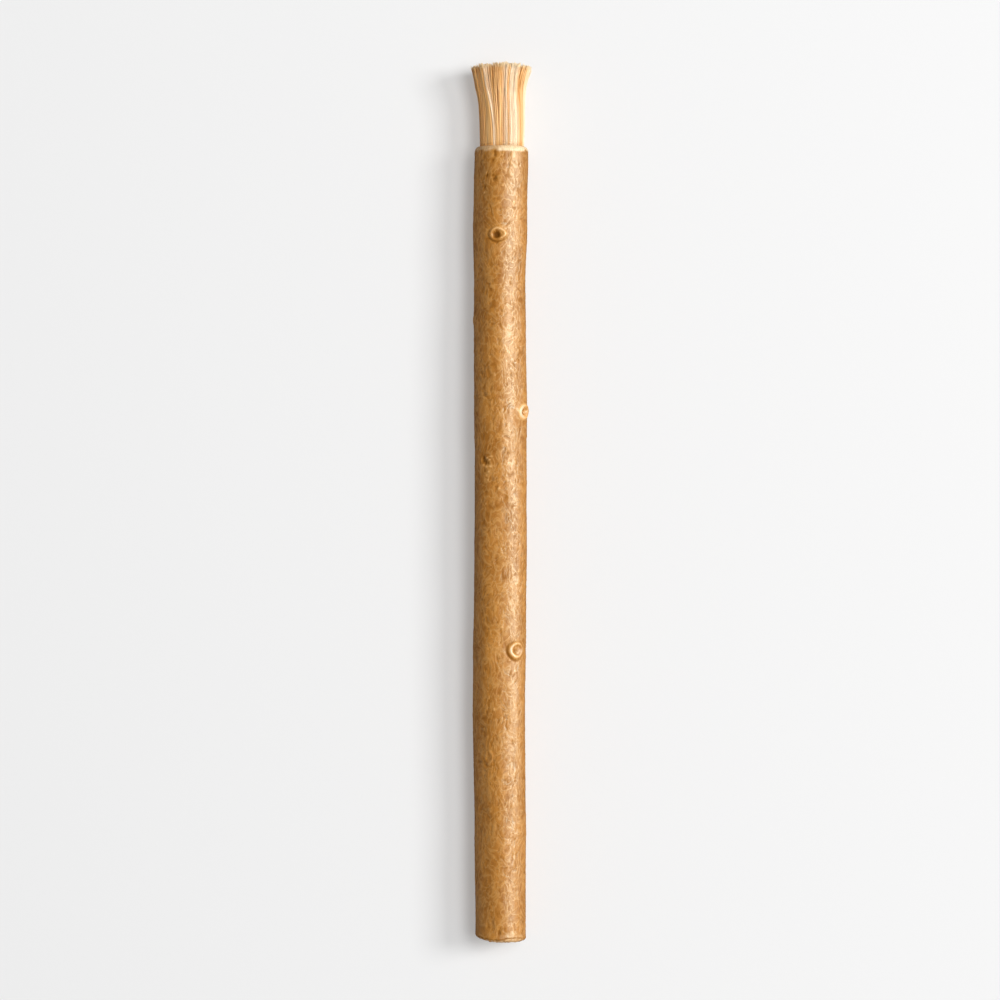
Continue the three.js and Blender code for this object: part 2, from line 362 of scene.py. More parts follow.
# Where the fibres all sway to one side towards their tips: turn in degrees, reach, sway in degrees. Then
# where that starts and over how much it grows, as above.
SWAYS = [
    (-24, 14, -12),
    (56, 20, -13),
]
SWAY_ALONG = (0.1, 0.8)
SWAY_OUT = (0.3, 0.4)

# The fibres' tone from pale to golden: its base, how much a clump and a fibre add to it at most, and how much
# paler it is at the brush's lit +X side and more golden at its shaded -X side, as painted light and shade
TONE_BASE = 0.25
TONE_OF_CLUMP = 0.4
TONE_OF_FIBRE = 0.2
PAINTED_SIDE_TONE = 0.2

# Locks of fibres that are paler or more golden: turn in degrees, reach, tone from pale to golden
LOCKS = [
    (-62, 7, 0.6),
    (-42, 7, 0.55),
    (-22, 5, 0.2),
    (-7, 4, 0.6),
    (10, 5, 0.2),
    (33, 9, 0.1),
    (61, 8, 0.8),
    (84, 7, 0.3),
    (98, 7, 0.15),
    (142, 9, 0.15),
    (-152, 6, 0.15),
    (-112, 9, 0.15),
]
LOCK_STRENGTH = 0.75

# Colours of the bark, the wood, the fibres and the floor, as linear light
BARK_GOLD = (0.53, 0.212, 0.028)
BARK_BROWN = (0.36, 0.125, 0.01)
THREAD_AND_HIGHLIGHT_PALE = (0.69, 0.35, 0.09)
RING_GOLD = (0.8, 0.42, 0.13)
RING_PALE = (0.84, 0.64, 0.44)
CREASE_SHADE_AND_FLECK_BROWN = (0.28, 0.1, 0.009)
PIT_AND_SHADE_BROWN = (0.13, 0.045, 0.005)
WOOD_PALE = (0.92, 0.7, 0.43)
WOOD_TAN = (0.64, 0.38, 0.16)
PORE_BROWN = (0.32, 0.16, 0.05)
FIBRE_PALE = (0.94, 0.75, 0.52)
FIBRE_GOLD = (0.9, 0.51, 0.18)
FIBRE_SHADE_GOLD = (0.87, 0.45, 0.14)
FIBRE_TIP = (0.93, 0.73, 0.45)
FLOOR_GREY = (0.53, 0.53, 0.53)
WHITE = (1, 1, 1)

# How far the lights are from the middle of the stick, in metres
LIGHT_DISTANCE = 1.5

# The floor: half of its side in metres, how far it is below the stick, and how much it glows
FLOOR_HALF = 3
FLOOR_DROP = 0.05
FLOOR_GLOW = 0.28

# The strength of the light from all round, and of the surround that the camera sees
WORLD_STRENGTH = 0.26
SURROUND_STRENGTH = 0.92

# The camera: focal length, sensor width, and the width that it sees at the stick
LENS = 135
SENSOR_WIDTH = 36
SEEN_WIDTH = 170

# The camera sees nothing nearer than this, in metres.
CLIP_START = 0.01


def smooth(t):
    t = np.clip(t, 0, 1)
    return t * t * (3 - 2 * t)


def rise(value, start, reach):
    """0 up to a start, and from there smoothly up to 1 within a reach."""
    return smooth((value - start) / reach)


def mix(a, b, t):
    return a + (b - a) * t


def bump(distance):
    return np.exp(-distance * distance)


def wave(y, height, length, start):
    return height * np.sin(2 * math.pi * y / length + start)


def scatter(i, j, seed):
    """A repeatable number from 0 to 1 for each pair of whole numbers."""
    i = np.asarray(i, dtype=np.int64).astype(np.uint32)
    j = np.asarray(j, dtype=np.int64).astype(np.uint32)
    start = np.uint32(seed * 362437 % 2**32)
    h = i * np.uint32(374761393) + j * np.uint32(668265263) + start
    h = (h ^ (h >> np.uint32(13))) * np.uint32(1274126177)
    return (h ^ (h >> np.uint32(16))) / 2**32


def patch(turn, y, around, length, seed):
    """Smooth patches that close up around the twig, from -0.5 to 0.5."""
    u = turn / (2 * math.pi) * around
    v = y / length
    i = np.floor(u)
    j = np.floor(v)
    s = smooth(u - i)
    t = smooth(v - j)

    def at(a, b):
        return scatter((i + a) % around, j + b, seed)

    return mix(mix(at(0, 0), at(1, 0), s), mix(at(0, 1), at(1, 1), s), t) - 0.5


def noise(place, seed):
    """Smooth noise in space, about -1 to 1, at each row of place."""
    cell = np.floor(place).astype(np.int64)
    inside = place - cell
    fade = inside**3 * (inside * (inside * 6 - 15) + 10)
    total = np.zeros(len(place))
    for corner in np.ndindex(2, 2, 2):
        where = cell + corner
        slice_seed = where[:, 2] * 57 + seed
        first = scatter(where[:, 0] + 131 * slice_seed, where[:, 1], seed)
        second = scatter(where[:, 0], where[:, 1] + 197 * slice_seed, seed + 1)
        turn = 2 * math.pi * first
        height = 2 * second - 1
        across = np.sqrt(1 - height * height)
        slope = np.stack([across * np.cos(turn), across * np.sin(turn), height], axis=1)
        share = np.prod(np.where(corner, fade, 1 - fade), axis=1)
        total += share * np.sum(slope * (inside - corner), axis=1)
    return 1.6 * total


def centreline(y):
    """The twig's middle at y, as x and z."""
    lean = LEAN * smooth((y - LEAN_START_Y) / (COLLAR_Y - LEAN_START_Y))
    return wave(y, *SIDEWAYS_WAVE) + lean, AXIS_HEIGHT + wave(y, *UPWARD_WAVE)


def bark_radius(turn, y):
    """The bark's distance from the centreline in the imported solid, without its scars."""
    radius = BARK_RADIUS - TAPER * smooth((TAPER_START_Y - y) / (TAPER_START_Y - BUTT_Y))
    for place, reach, height in SWELLINGS:
        radius = radius + height * bump((y - place) / reach)
    for around, height, start, twist in FLUTES:
        radius = radius + height * np.cos(around * (turn + twist * y) + start)
    for around, length, height, seed in PATCHES:
        radius = radius + height * patch(turn, y, around, length, seed)
    return radius


def offsets(turn, y, place_y, place_turn):
    """How far points are from a place on the bark: around the twig, and along it."""
    around = (turn - math.radians(place_turn) + math.pi) % (2 * math.pi) - math.pi
    return around * BARK_RADIUS, y - place_y


def scar_marks(scar, turn, y):
    """The height that one scar adds, and how much of each point is pale ring with its painted highlight, dark
    with painted shade in the pit and the groove, or near the scar.
    """
    around, along = offsets(turn, y, scar.y, scar.turn)
    radius = (scar.half_width + scar.half_length) / 2
    side = np.arctan2(around, -along)
    ragged = 1 + scar.odd * (np.cos(4 * side) + np.cos(3 * side + 2 * scar.y))
    distance = radius * np.hypot(around / scar.half_width, along / scar.half_length) / ragged
    ring = bump((distance - radius) / (RING_SOFTNESS * scar.rim))
    from_pit = np.hypot(around + PIT_ASIDE, along + PIT_BEHIND)
    pit = smooth((PIT_EDGE * scar.pit_radius - from_pit) / (PIT_WALL * scar.pit_radius))
    facing = 0.5 + 0.5 * np.cos(side - math.radians(scar.groove_side))
    groove = bump((distance - radius - GROOVE_OUT * scar.rim) / (GROOVE_WIDTH * scar.rim))
    groove = groove * mix(GROOVE_ALL_ROUND, 1, facing**2)
    uneven = 1 + LOPSIDED * np.cos(side - HIGH_SIDE)
    height = scar.rise * uneven * ring - scar.depth * pit - scar.groove_depth * groove
    clear = min(1, scar.rise / FULL_RISE)
    # The ring is painted palest on one side and darker on the other: painted highlight and painted shade.
    paleness_and_highlight = 1 - RING_SHADE_FADE * (0.5 - 0.5 * np.cos(side - math.radians(scar.pale_side)))
    # A pit is darker as it is deeper, partly its own dark colour and partly painted shade. The groove's
    # darkness is a painted shadow.
    dark_and_shade = np.maximum(min(1, scar.depth / FULL_DEPTH) * pit, scar.groove_depth / FULL_GROOVE * groove)
    near = clear * smooth((radius + CALM_REACH * scar.rim - distance) / scar.rim)
    return height, clear * paleness_and_highlight * ring, dark_and_shade, near


def marks(turn, y):
    """The height that scars, pits and flecks add to the bark, and how much of each point is pale, with the
    rings' painted highlight, dark, with painted shade in the scars' pits and grooves, or near a scar."""
    height = np.zeros_like(y)
    paleness_and_highlight = np.zeros_like(y)
    dark_and_shade = np.zeros_like(y)
    near = np.zeros_like(y)
    for scar in SCARS:
        scar_height, ring, scar_dark_and_shade, scar_near = scar_marks(scar, turn, y)
        height += scar_height
        paleness_and_highlight = np.maximum(paleness_and_highlight, ring)
        dark_and_shade = np.maximum(dark_and_shade, scar_dark_and_shade)
        near = np.maximum(near, scar_near)
    for pit_y, pit_turn, radius, depth, darkness in PITS:
        around, along = offsets(turn, y, pit_y, pit_turn)
        pit = darkness * bump(np.hypot(around, PIT_NARROWNESS * along) / radius)
        height -= depth * pit
        dark_and_shade = np.maximum(dark_and_shade, pit)
    for fleck_y, fleck_turn, half_width, half_length, fleck_height in FLECKS:
        around, along = offsets(turn, y, fleck_y, fleck_turn)
        fleck = bump(np.hypot(around / half_width, along / half_length))
        height += fleck_height * fleck
        paleness_and_highlight = np.maximum(paleness_and_highlight, FLECK_PALENESS * fleck)
    return height, paleness_and_highlight, dark_and_shade, near


def bark_flow(place):
    """Where points on a plain round twig are in the bark's pattern, which runs along it and swirls."""
    moved = place
    for size, carry, seeds in SWIRLS:
        moved = moved + carry * np.stack([noise(place / size, seed) for seed in seeds], axis=1)
    return moved * PATTERN_SCALE


def wrinkles(place, flow):
    """The height of the bark's creases, dimples, ridges and waves, in mm."""
    creases = bump(noise(flow / CREASE_SIZE, 31) / CREASE_WIDTH)
    creases = creases * smooth(0.5 + 1.5 * noise(flow / CREASE_GAPS, 33))
    dimples = rise(noise(flow / DIMPLE_SIZE, 37), *KNOB_RANGE)
    ridges = rise(noise(flow / RIDGE_SIZE, 41), *KNOB_RANGE)
    waves = noise(place / WAVE_SIZE, 43)
    strength = 0.7 + 0.3 * smooth(0.5 + 1.4 * noise(place / ROUGHER_SIZE, 47))
    relief = RIDGE_HEIGHT * ridges - CREASE_DEPTH * creases - DIMPLE_DEPTH * dimples
    return strength * relief + WAVE_HEIGHT * waves


def add_attribute(mesh, name, values):
    """Gives each point of a mesh a number, or a place when there are three numbers for it."""
    values = np.asarray(values, dtype=np.float32)
    if values.ndim == 1:
        mesh.attributes.new(name, "FLOAT", "POINT").data.foreach_set("value", values)
    else:
        mesh.attributes.new(name, "FLOAT_VECTOR", "POINT").data.foreach_set("vector", values.ravel())


def add_object(name, points, faces, attributes, material):
    """A smooth mesh object from points in mm, with a value of each attribute for every point."""
    mesh = bpy.data.meshes.new(name)
    mesh.from_pydata((points * MM).tolist(), [], faces)
    for attribute, values in attributes.items():
        add_attribute(mesh, attribute, values)
    mesh.shade_smooth()
    mesh.materials.append(material)
    piece = bpy.data.objects.new(name, mesh)
    bpy.context.scene.collection.objects.link(piece)
    return piece


def grid_faces(rows, columns):
    """Quads between neighbouring rows of a grid that closes up around its columns."""
    first = np.arange(rows - 1)[:, None] * columns
    here = np.arange(columns)[None, :]
    after = (here + 1) % columns
    corners = [first + here, first + after, first + columns + after, first + columns + here]
    return np.stack(corners, axis=-1).reshape(-1, 4).tolist()


def body_rows():
    """Places of the rows along the bark, closer together at the scars."""
    low = BUTT_Y + BUTT_ROUNDING
    high = COLLAR_Y - BEVEL_HEIGHT
    fine = np.linspace(low, high, FINE_PLACES)
    density = np.ones_like(fine)
    for scar in SCARS:
        density += CLOSER_AT_SCARS * bump((fine - scar.y) / CLOSER_REACH)
    steps = np.concatenate([[0], np.cumsum(density[1:])])
    count = round((high - low) / ROW_STEP)
    return np.interp(np.linspace(0, steps[-1], count), steps, fine)


def bark_rows():
    """Rows of the twig's surface, from the middle of the butt to the root of the brush. Each has its place
    along, the share of the radius that it has, its inset, how round it is, its relief and its bareness."""
    rows = []
    for share in np.linspace(FACE_MIDDLE, 1, FACE_ROWS + 1)[:-1]:
        rows.append((BUTT_Y, share, BUTT_INSET, 0, 0, 1))
    for angle in np.linspace(0, math.pi / 2, ROUNDING_ROWS + 1)[:-1]:
        y = BUTT_Y + BUTT_ROUNDING * (1 - math.cos(angle))
        rows.append((y, 1, BUTT_INSET * (1 - math.sin(angle)), 0, math.sin(angle), 0))
    for y in body_rows():
        rows.append((y, 1, 0, 0, 1, 0))
    for angle in np.linspace(0, math.pi / 2, BEVEL_ROWS + 1)[1:]:
        y = COLLAR_Y - BEVEL_HEIGHT * (1 - math.sin(angle))
        rows.append((y, 1, BEVEL_INSET * (1 - math.cos(angle)), 0, BEVEL_RELIEF * math.cos(angle), 0))
    for roundness in (0.3, 0.6, 0.85, 1):
        y = COLLAR_Y - COLLAR_HOLLOW * math.sin(math.pi * roundness)
        rows.append((y, 1, BEVEL_INSET, roundness, 0, 1))
    for share in (1, 0.5):
        rows.append((COLLAR_Y - ROOT_DEPTH, share, BEVEL_INSET, 1, 0, 1))
    return np.array(rows).T


class BarkGrid:
    """The points of the bark's mesh, as rows along the twig and columns around it."""

    def __init__(self):
        y, share, inset, roundness, relief, bare = (row[:, None] for row in bark_rows())
        turn = np.arange(COLUMNS)[None, :] * (2 * math.pi / COLUMNS)
        self.turn, self.y = np.broadcast_arrays(turn, y)
        self.share = share
        self.inset = inset
        self.roundness = roundness
        self.relief = relief
        self.bare = bare
        self.is_face = (share < 1) & (self.y < 0)
        self.is_side = share == 1
        x = BARK_RADIUS * np.sin(self.turn)
        z = BARK_RADIUS * np.cos(self.turn)
        self.place = np.stack([x, self.y, z], axis=-1).reshape(-1, 3)

    def noise(self, size, seed):
        """Noise of a size on a plain round twig, in the shape of the grid."""
        return noise(self.place / size, seed).reshape(self.y.shape)

    def mixed_noise(self, parts):
        return sum(share * self.noise(size, seed) for size, share, seed in parts)


def bark_points(grid, height, ragged):
    """Where the bark's points are, with the given height added to the solid's bark."""
    radius = bark_radius(grid.turn, grid.y) + height - grid.inset
    radius = mix(radius, BRUSH_RADIUS - ROOT_INSET, grid.roundness) * grid.share
    middle_x, middle_z = centreline(grid.y)
    askew = BUTT_ASKEW * rise(-grid.share * np.sin(grid.turn), *ASKEW_SIDE)
    askew = askew * smooth((BUTT_Y + ASKEW_REACH - grid.y) / ASKEW_REACH)
    at_rim = smooth((BUTT_Y + RAGGED_REACH - grid.y) / RAGGED_REACH) * rise(grid.share, *RAGGED_SIDE)
    torn_off = BUTT_RAGGED * (0.4 + 0.6 * ragged) * at_rim
    saw_marks = SAWN_DEPTH * noise(grid.place * SAWN_MARKS, 59).reshape(grid.y.shape)
    sawn = np.where(grid.is_face, saw_marks, 0)
    x = middle_x + radius * np.sin(grid.turn)
    y = grid.y + np.abs(sawn) + (askew + torn_off)
    z = np.maximum(0, middle_z + radius * np.cos(grid.turn))
    return np.stack([x, y, z], axis=-1).reshape(-1, 3)


def bare_wood_and_painted_light(grid, torn, butt_highlight):
    """How much of each point has bare wood's colour: the sawn face, the pared collar, painted less pale on
    its shady side, and a painted highlight on one side of the butt.
    """
    y = grid.y
    pared = smooth((y + 0.5 * torn - (COLLAR_Y - BEVEL_HEIGHT * PARED_START)) / PARED_EDGE)
    face_share = np.where(grid.is_face, grid.share, 1)
    bark_ring = smooth((face_share - BARK_RING - 0.1 * torn) / BARK_RING_EDGE)
    # The pared band is painted less pale towards -X: painted shade.
    painted_lit_side = mix(PAINTED_SHADE_BARENESS, 1, smooth((np.sin(grid.turn) + 0.6 + torn) / 1.1))
    bareness_and_painted_light = np.maximum(np.where(y < 0, grid.bare * (1 - bark_ring), grid.bare), pared)
    bareness_and_painted_light = bareness_and_painted_light * np.where(y > 0, painted_lit_side, 1)
    return np.maximum(bareness_and_painted_light, BUTT_HIGHLIGHT_PALENESS * butt_highlight * grid.is_side)


def butt_rim(grid, torn, butt_highlight, ragged):
    """The line of painted shade around the butt's rim, and the pale torn lip beyond it."""
    rim_shade_y = BUTT_Y + RIM_SHADE_HEIGHT * (1 + 0.35 * torn) + 0.3 * butt_highlight
    rim_shade = bump((grid.y - rim_shade_y) / RIM_SHADE_WIDTH) * grid.is_side * smooth(0.75 + 0.6 * ragged)
    lip = smooth((rim_shade_y - LIP_OFFSET - grid.y) / LIP_EDGE) * grid.is_side * smooth(0.5 + ragged)
    return rim_shade, lip


def make_bark(material):
    """The twig, from its butt to the root of the brush. Its two ends are closed around a middle point."""
    grid = BarkGrid()
    mark_height, paleness_and_highlight, dark_and_shade, near = marks(grid.turn, grid.y)
    flow = bark_flow(grid.place)
    rough = wrinkles(grid.place, flow).reshape(grid.y.shape) * (1 - CALM * near)
    end_wear = END_WEAR * grid.noise(END_WEAR_SIZE, 53)
    edge = smooth((BUTT_Y + BUTT_ROUNDING * END_WEAR_REACH - grid.y) / BUTT_ROUNDING) * grid.is_side
    height = grid.relief * (rough + mark_height) + edge * end_wear
    ragged = grid.mixed_noise(RAGGED_NOISES)
    points = bark_points(grid, height, ragged)
    torn = grid.mixed_noise(TORN_NOISES)
    # A pale painted highlight on one side of the butt's rim.
    butt_highlight = smooth((BUTT_Y + BUTT_HIGHLIGHT_LENGTH + 2 * torn - grid.y) / BUTT_HIGHLIGHT_EDGE)
    butt_highlight = butt_highlight * bump((np.degrees(grid.turn) - BUTT_HIGHLIGHT_TURN) / BUTT_HIGHLIGHT_REACH)
    rim_shade, lip = butt_rim(grid, torn, butt_highlight, ragged)
    bareness_and_painted_light = np.maximum(bare_wood_and_painted_light(grid, torn, butt_highlight) * (1 - rim_shade), LIP_PALENESS * lip)
    rows, columns = grid.y.shape
    faces = grid_faces(rows, columns)
    last = (rows - 1) * columns
    ends = [points[:columns].mean(axis=0), points[last:].mean(axis=0)]
    butt_middle = len(points)
    for i in range(columns):
        after = (i + 1) % columns
        faces.append([after, i, butt_middle])
        faces.append([last + i, last + after, butt_middle + 1])
    # The ring, pit and bare attributes also carry painted highlight and painted shade.
    attributes = {
        "relief": np.append(np.clip(rough / RELIEF_REACH, -1, 1), [0, 0]),
        "ring": np.append(paleness_and_highlight * grid.relief, [0, 0]),
        "pit": np.append(np.maximum(dark_and_shade * grid.relief, RIM_SHADE_DARKNESS * rim_shade), [0, 0]),
        "bare": np.append(bareness_and_painted_light, [1, 1]),
        "end_grain": np.append(grid.is_face * 1.0, [1, 0]),
        "flow": np.vstack([flow, ends]),
    }
    return add_object("bark_twig", np.vstack([points, ends]), faces, attributes, material)


def spread(t):
    """How far the fibres spread at a height, as a share of their distance from the middle."""
    flare = np.clip((t - FLARE_START) / (1 - FLARE_START), 0, 1) ** FLARE_POWER
    return 1 + SPREAD_EVEN * t + SPREAD_FLARE * flare


def fibre_points(x, z, t):
    """Where fibres that start at x and z on the round root have got to, from their foot to their tip."""
    middle_x, middle_z = centreline(COLLAR_Y)
    wide = spread(t)
    press = np.where(z < 0, np.minimum(1, (middle_z - PRESS_CLEARANCE) / (BRUSH_RADIUS * wide)), 1)
    drop = TIP_DROP * (np.hypot(x, z) / BRUSH_RADIUS) ** TIP_POWER * t
    y = mix(COLLAR_Y - FOOT_DEPTH, TIP_Y - TIP_SHORT, t) - drop
    lean = BRUSH_LEAN * bump((t - LEAN_PLACE) / LEAN_REACH)
    return np.stack([middle_x - lean + x * wide, y, middle_z + z * wide * press], axis=-1)


def sunflower(count, radius, jitter, draw):
    """Places spread evenly over a round, as x and z."""
    index = np.arange(count)
    turn = index * math.pi * (3 - math.sqrt(5))
    distance = radius * np.sqrt((index + 0.5) / count)
    x = distance * np.sin(turn) + jitter * draw.normal(size=count)
    z = distance * np.cos(turn) + jitter * draw.normal(size=count)
    beyond = np.maximum(1, np.hypot(x, z) / radius)
    return x / beyond, z / beyond


def degrees_from(turn, middle):
    """How far turns are from a middle in degrees, from -180 to 180."""
    return (np.degrees(turn) - middle + 180) % 360 - 180


def part_and_sway(turn, out, t):
    """The turns of fibres, moved aside at the partings and by the sways."""
    moved = turn + 0 * t
    for middle, reach, shift in PARTINGS:
        offset = degrees_from(turn, middle)
        aside = np.tanh(offset / 2) * bump(offset / reach) * shift
        moved += np.radians(aside) * rise(t, *PARTING_ALONG) * rise(out, *PARTING_OUT)[:, None]
    for middle, reach, sway in SWAYS:
        aside = np.radians(sway) * bump(degrees_from(turn, middle) / reach)
        moved += aside * rise(t, *SWAY_ALONG) * rise(out, *SWAY_OUT)[:, None]
    return moved


def make_fibres(name, material, draw, kind):
    """Many fibres as one mesh. They gather in clumps and wave a little towards their tips."""
    count = kind.count
    x, z = sunflower(count, BRUSH_RADIUS + FOOT_SWELL - kind.thickness / 2, FOOT_JITTER, draw)
    out = np.hypot(x, z) / BRUSH_RADIUS
    facing = draw.normal(size=count) * kind.spin - np.arctan2(x, z)
    clump_x, clump_z = sunflower(kind.clumps, BRUSH_RADIUS * CLUMP_COVER, CLUMP_JITTER, draw)
    nearest = np.argmin(np.hypot(x[:, None] - clump_x, z[:, None] - clump_z), axis=1)
    short = kind.uneven * np.sqrt(draw.random(count)) + CLUMP_UNEVEN * draw.random(kind.clumps)[nearest]
    length = 1 - short / (TIP_Y - COLLAR_Y)
    t = np.linspace(0, 1, kind.stations)[None, :] * length[:, None]
    pull = kind.gather * rise(t, *GATHER_ALONG) * draw.uniform(*GATHER_RANGE, count)[:, None]
    to_x = mix(x[:, None], clump_x[nearest][:, None], pull)
    to_z = mix(z[:, None], clump_z[nearest][:, None], pull)
    turn = part_and_sway(np.arctan2(to_x, to_z), out, t)
    distance = np.hypot(to_x, to_z)
    path = fibre_points(distance * np.sin(turn), distance * np.cos(turn), t)
    for axis in (0, 2):
        for waves, share in FIBRE_WAVES:
            start = draw.uniform(0, 2 * math.pi, count)[:, None]
            height = kind.wave * share * draw.normal(size=count)[:, None]
            path[:, :, axis] += height * t**WAVE_GROWTH * np.sin(2 * math.pi * waves * t + start)
    path[:, :, 2] = np.maximum(path[:, :, 2], TABLE_CLEARANCE + kind.thickness / 2)
    path[:, :, 1] = np.minimum(path[:, :, 1], TIP_Y - TIP_MARGIN)
    tone = TONE_BASE + TONE_OF_CLUMP * draw.random(kind.clumps)[nearest]
    # The +X side of the brush is painted paler and the -X side more golden: painted light and shade.
    tone = tone + TONE_OF_FIBRE * draw.random(count) - PAINTED_SIDE_TONE * x / BRUSH_RADIUS
    for middle, reach, lock_tone in LOCKS:
        offset = degrees_from(np.arctan2(x, z), middle)
        tone = mix(tone, lock_tone, LOCK_STRENGTH * bump(offset / reach))
    rods = fibre_mesh(name, material, draw, path, t, kind, facing)
    for attribute, values in (("tone", tone), ("inner", 1 - out)):
        add_attribute(rods.data, attribute, np.repeat(values, kind.stations * kind.sides))
    return rods


def fibre_mesh(name, material, draw, path, t, kind, facing):
    """Flat, uneven strands along the given paths, with the wide side turned as facing says."""
    count, stations = t.shape
    sides = kind.sides
    ahead = np.gradient(path, axis=1)
    ahead /= np.linalg.norm(ahead, axis=2, keepdims=True)
    lead = np.stack([np.cos(facing), np.zeros(count), np.sin(facing)], axis=1)[:, None, :]
    side = lead - ahead * np.sum(lead * ahead, axis=2, keepdims=True)
    side /= np.linalg.norm(side, axis=2, keepdims=True)
    other = np.cross(side, ahead)
    angle = np.arange(sides) * (2 * math.pi / sides)
    outline = 1 + OUTLINE_UNEVEN * draw.normal(size=(count, 1, sides))
    swell = 1 + SWELL * np.sin(draw.uniform(*SWELL_STARTS, (count, 1)) + SWELL_PACE * t)
    taper = 1 - NARROWING * t - TIP_NARROWING * rise(t / t[:, -1:], *TIP_ALONG)
    size = kind.thickness / 2 * draw.uniform(*THICKNESS_RANGE, (count, 1)) * swell * taper
    flat = draw.uniform(*FLATNESS_RANGE, (count, 1, 1))
    wide = (size[:, :, None] * outline * np.cos(angle))[..., None]
    deep = (size[:, :, None] * outline * flat * np.sin(angle))[..., None]
    points = path[:, :, None, :] + wide * side[:, :, None, :] + deep * other[:, :, None, :]
    points[..., 2] = np.maximum(points[..., 2], TABLE_CLEARANCE)
    rod = grid_faces(stations, sides)
    rod.append(list(range(sides))[::-1])
    rod.append([(stations - 1) * sides + i for i in range(sides)])
    rod_size = stations * sides
    faces = [[corner + k * rod_size for corner in face] for k in range(count) for face in rod]
    along = np.broadcast_to(t[:, :, None], (count, stations, sides)).ravel()
    return add_object(name, points.reshape(-1, 3), faces, {"along": along}, material)


class Nodes:
    """A material made of nodes, with a short call for each kind of node."""

    def __init__(self, name):
        self.material = bpy.data.materials.new(name)
        self.material.use_nodes = True
        self.tree = self.material.node_tree
        self.shader = self.tree.nodes["Principled BSDF"]
        self.place = self.add("ShaderNodeTexCoord").outputs["Object"]

    def add(self, kind, inputs=(), **settings):
        made = self.tree.nodes.new(kind)
        for key, value in settings.items():
            setattr(made, key, value)
        for key, value in dict(inputs).items():
            self.put(made.inputs[key], value)
        return made

    def put(self, socket, value):
        if isinstance(value, bpy.types.NodeSocket):
            self.tree.links.new(value, socket)
        else:
            socket.default_value = value

    def attribute(self, name, output="Fac"):
        return self.add("ShaderNodeAttribute", attribute_name=name).outputs[output]

    def scaled(self, x, y, z):
        """The place on the object in mm, divided by a size along each axis."""
        scale = (1 / MM / x, 1 / MM / y, 1 / MM / z)
        return self.add("ShaderNodeMapping", {"Vector": self.place, "Scale": scale}).outputs[0]

    def flow(self, size):
        """The place in the bark's own pattern, divided by a size."""
        scale = (1 / size, 1 / size, 1 / size)
        place = self.attribute("flow", "Vector")
        return self.add("ShaderNodeMapping", {"Vector": place, "Scale": scale}).outputs[0]

    def noise(self, place, detail=3, distortion=0):
        inputs = {
            "Vector": place,
            "Scale": 1,
            "Detail": detail,
            "Roughness": 0.55,
            "Distortion": distortion,
        }
        return self.add("ShaderNodeTexNoise", inputs).outputs["Fac"]

    def lines(self, place, edge, middle):
        """Winding lines: 0 beyond their edge, and 1 within their middle."""
        away = self.math("ABSOLUTE", self.math("SUBTRACT", self.noise(place, detail=1), 0.5), 0)
        return self.reach(away, edge, middle)

    def cells(self, place):
        """The distance from the middle of the nearest cell."""
        return self.add("ShaderNodeTexVoronoi", {"Vector": place, "Scale": 1}).outputs["Distance"]

    def reach(self, value, low, high, to_low=0, to_high=1):
        """A value from low to high, brought to between to_low and to_high."""
        inputs = {
            "Value": value,
            "From Min": low,
            "From Max": high,
            "To Min": to_low,
            "To Max": to_high,
        }
        return self.add("ShaderNodeMapRange", inputs).outputs["Result"]

    def math(self, operation, a, b):
        made = self.add("ShaderNodeMath", operation=operation)
        self.put(made.inputs[0], a)
        self.put(made.inputs[1], b)
        return made.outputs[0]

    def mix(self, share, a, b):
        """A colour that is a, and b by its share."""
        made = self.add("ShaderNodeMix", data_type="RGBA")
        self.put(made.inputs[0], share)
        self.put(made.inputs[6], a if isinstance(a, bpy.types.NodeSocket) else (*a, 1))
        self.put(made.inputs[7], b if isinstance(b, bpy.types.NodeSocket) else (*b, 1))
        return made.outputs[2]

    def bump(self, height, distance, normal=None):
        inputs = {"Height": height, "Distance": distance * MM, "Strength": 1}
        if normal is not None:
            inputs["Normal"] = normal
        return self.add("ShaderNodeBump", inputs).outputs["Normal"]

    def finish(self, colour, roughness, normal, **constants):
        self.put(self.shader.inputs["Base Color"], colour)
        self.put(self.shader.inputs["Roughness"], roughness)
        self.put(self.shader.inputs["Normal"], normal)
        for name, value in constants.items():
            self.shader.inputs[name.replace("_", " ")].default_value = value
        return self.material


